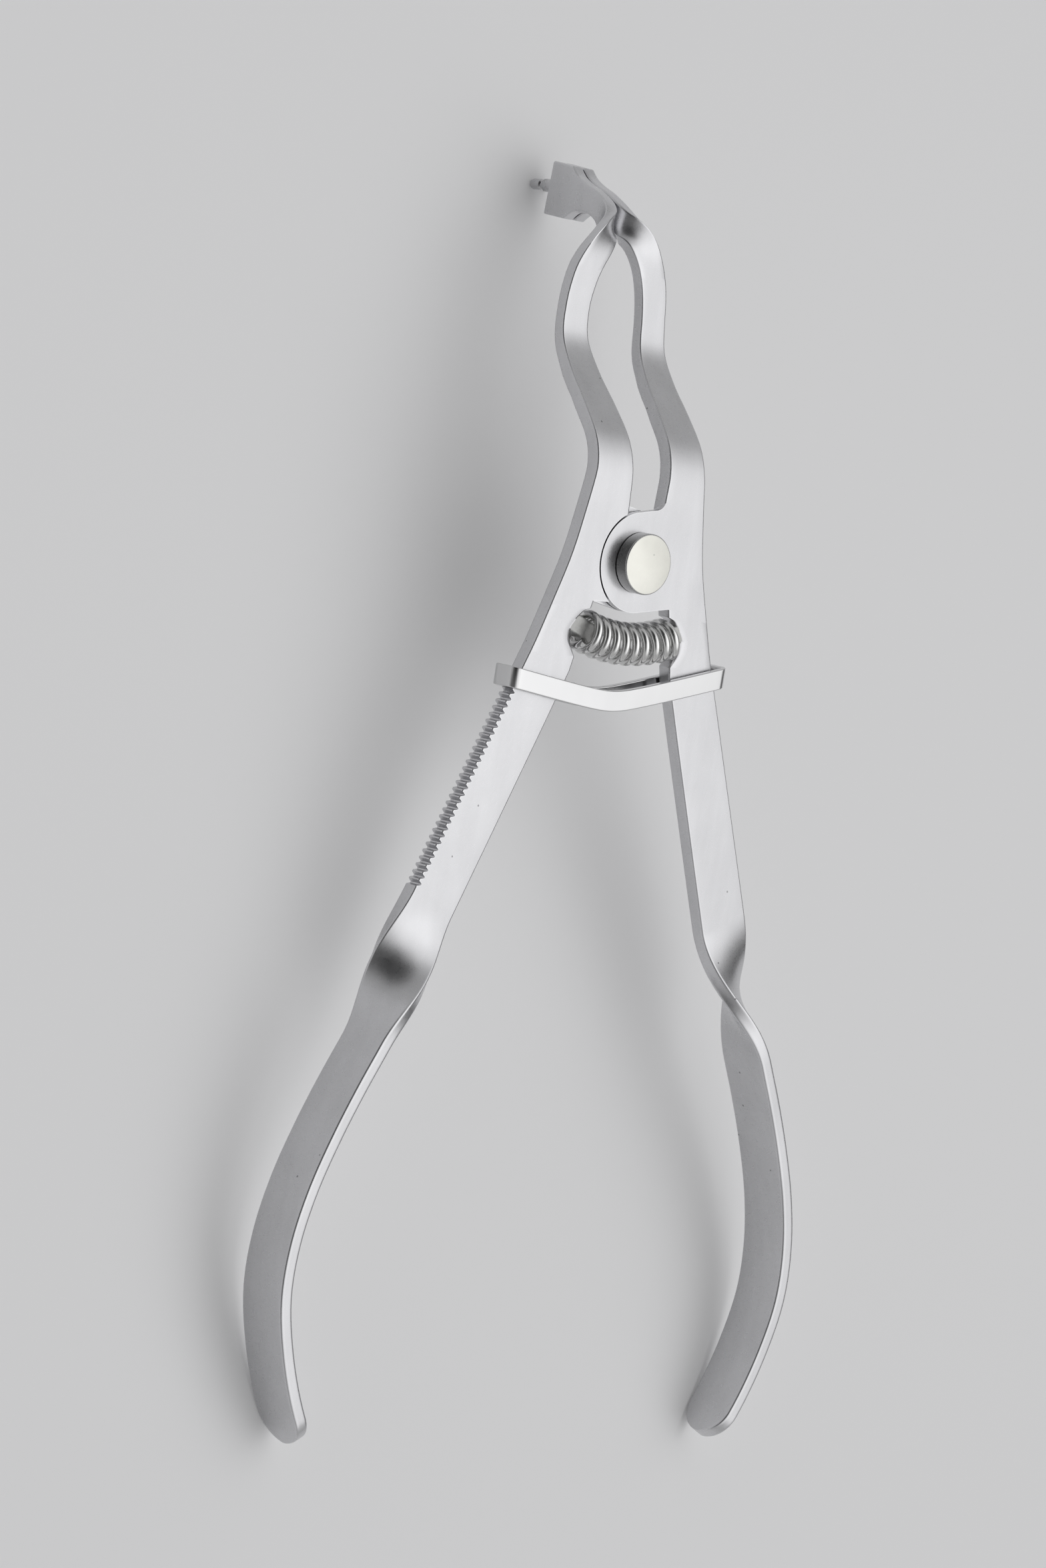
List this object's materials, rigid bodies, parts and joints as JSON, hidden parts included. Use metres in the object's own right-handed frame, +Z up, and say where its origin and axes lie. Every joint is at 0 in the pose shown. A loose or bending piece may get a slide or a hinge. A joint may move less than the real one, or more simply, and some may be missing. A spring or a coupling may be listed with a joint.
{
  "type": "rubber dam clamp forceps",
  "caption": "Hand forceps: lap-jointed arms with down-turned beaks ending in small pins, bowed handles, a coil spring between the arms and a locking ring that slides over ratchet teeth.",
  "frame": {"origin": "bottom middle of the instrument's box as it lies on a table, on its tip pins and the back edges of its handles", "axes": "+Y from the handles towards the beaks, +Z up from the table, +X across towards the plain arm; the toothed arm is on -X"},
  "size_m": [0.092, 0.1724, 0.0255],
  "materials": {
    "arms": "satin stainless steel",
    "ring": "bright stainless steel",
    "pin": "turned stainless steel with a frosted face",
    "spring": "polished spring wire"
  },
  "bodies": {
    "pivot": {"pivot_pin": "pin", "spring": "spring"},
    "left": {"left_arm": "arms"},
    "right": {"right_arm": "arms"},
    "ring": {"locking_ring": "ring"}
  },
  "joints": [
    {"name": "left_arm_hinge", "type": "hinge", "parent": "pivot", "child": "left", "pos_m": [0, 0.03112, 0.02288], "axis": [0, -0.1675, 0.9859], "range_deg": [0, 9], "stiffness_Nm_per_rad": 6.5, "springref_deg": -1.72, "deforming": ["spring"]},
    {"name": "right_arm_hinge", "type": "hinge", "parent": "pivot", "child": "right", "pos_m": [0, 0.03112, 0.02288], "axis": [0, -0.1675, 0.9859], "range_deg": [-9, 0]},
    {"name": "ring_slide", "type": "slide", "parent": "pivot", "child": "ring", "axis": [0, -0.9859, -0.1675], "range_m": [0, 0.0092]}
  ],
  "couplings": [
    {"joint": "right_arm_hinge", "follows": "left_arm_hinge", "ratio": -1},
    {"joint": "ring_slide", "follows": "left_arm_hinge", "m_per_rad": 0.058}
  ]
}
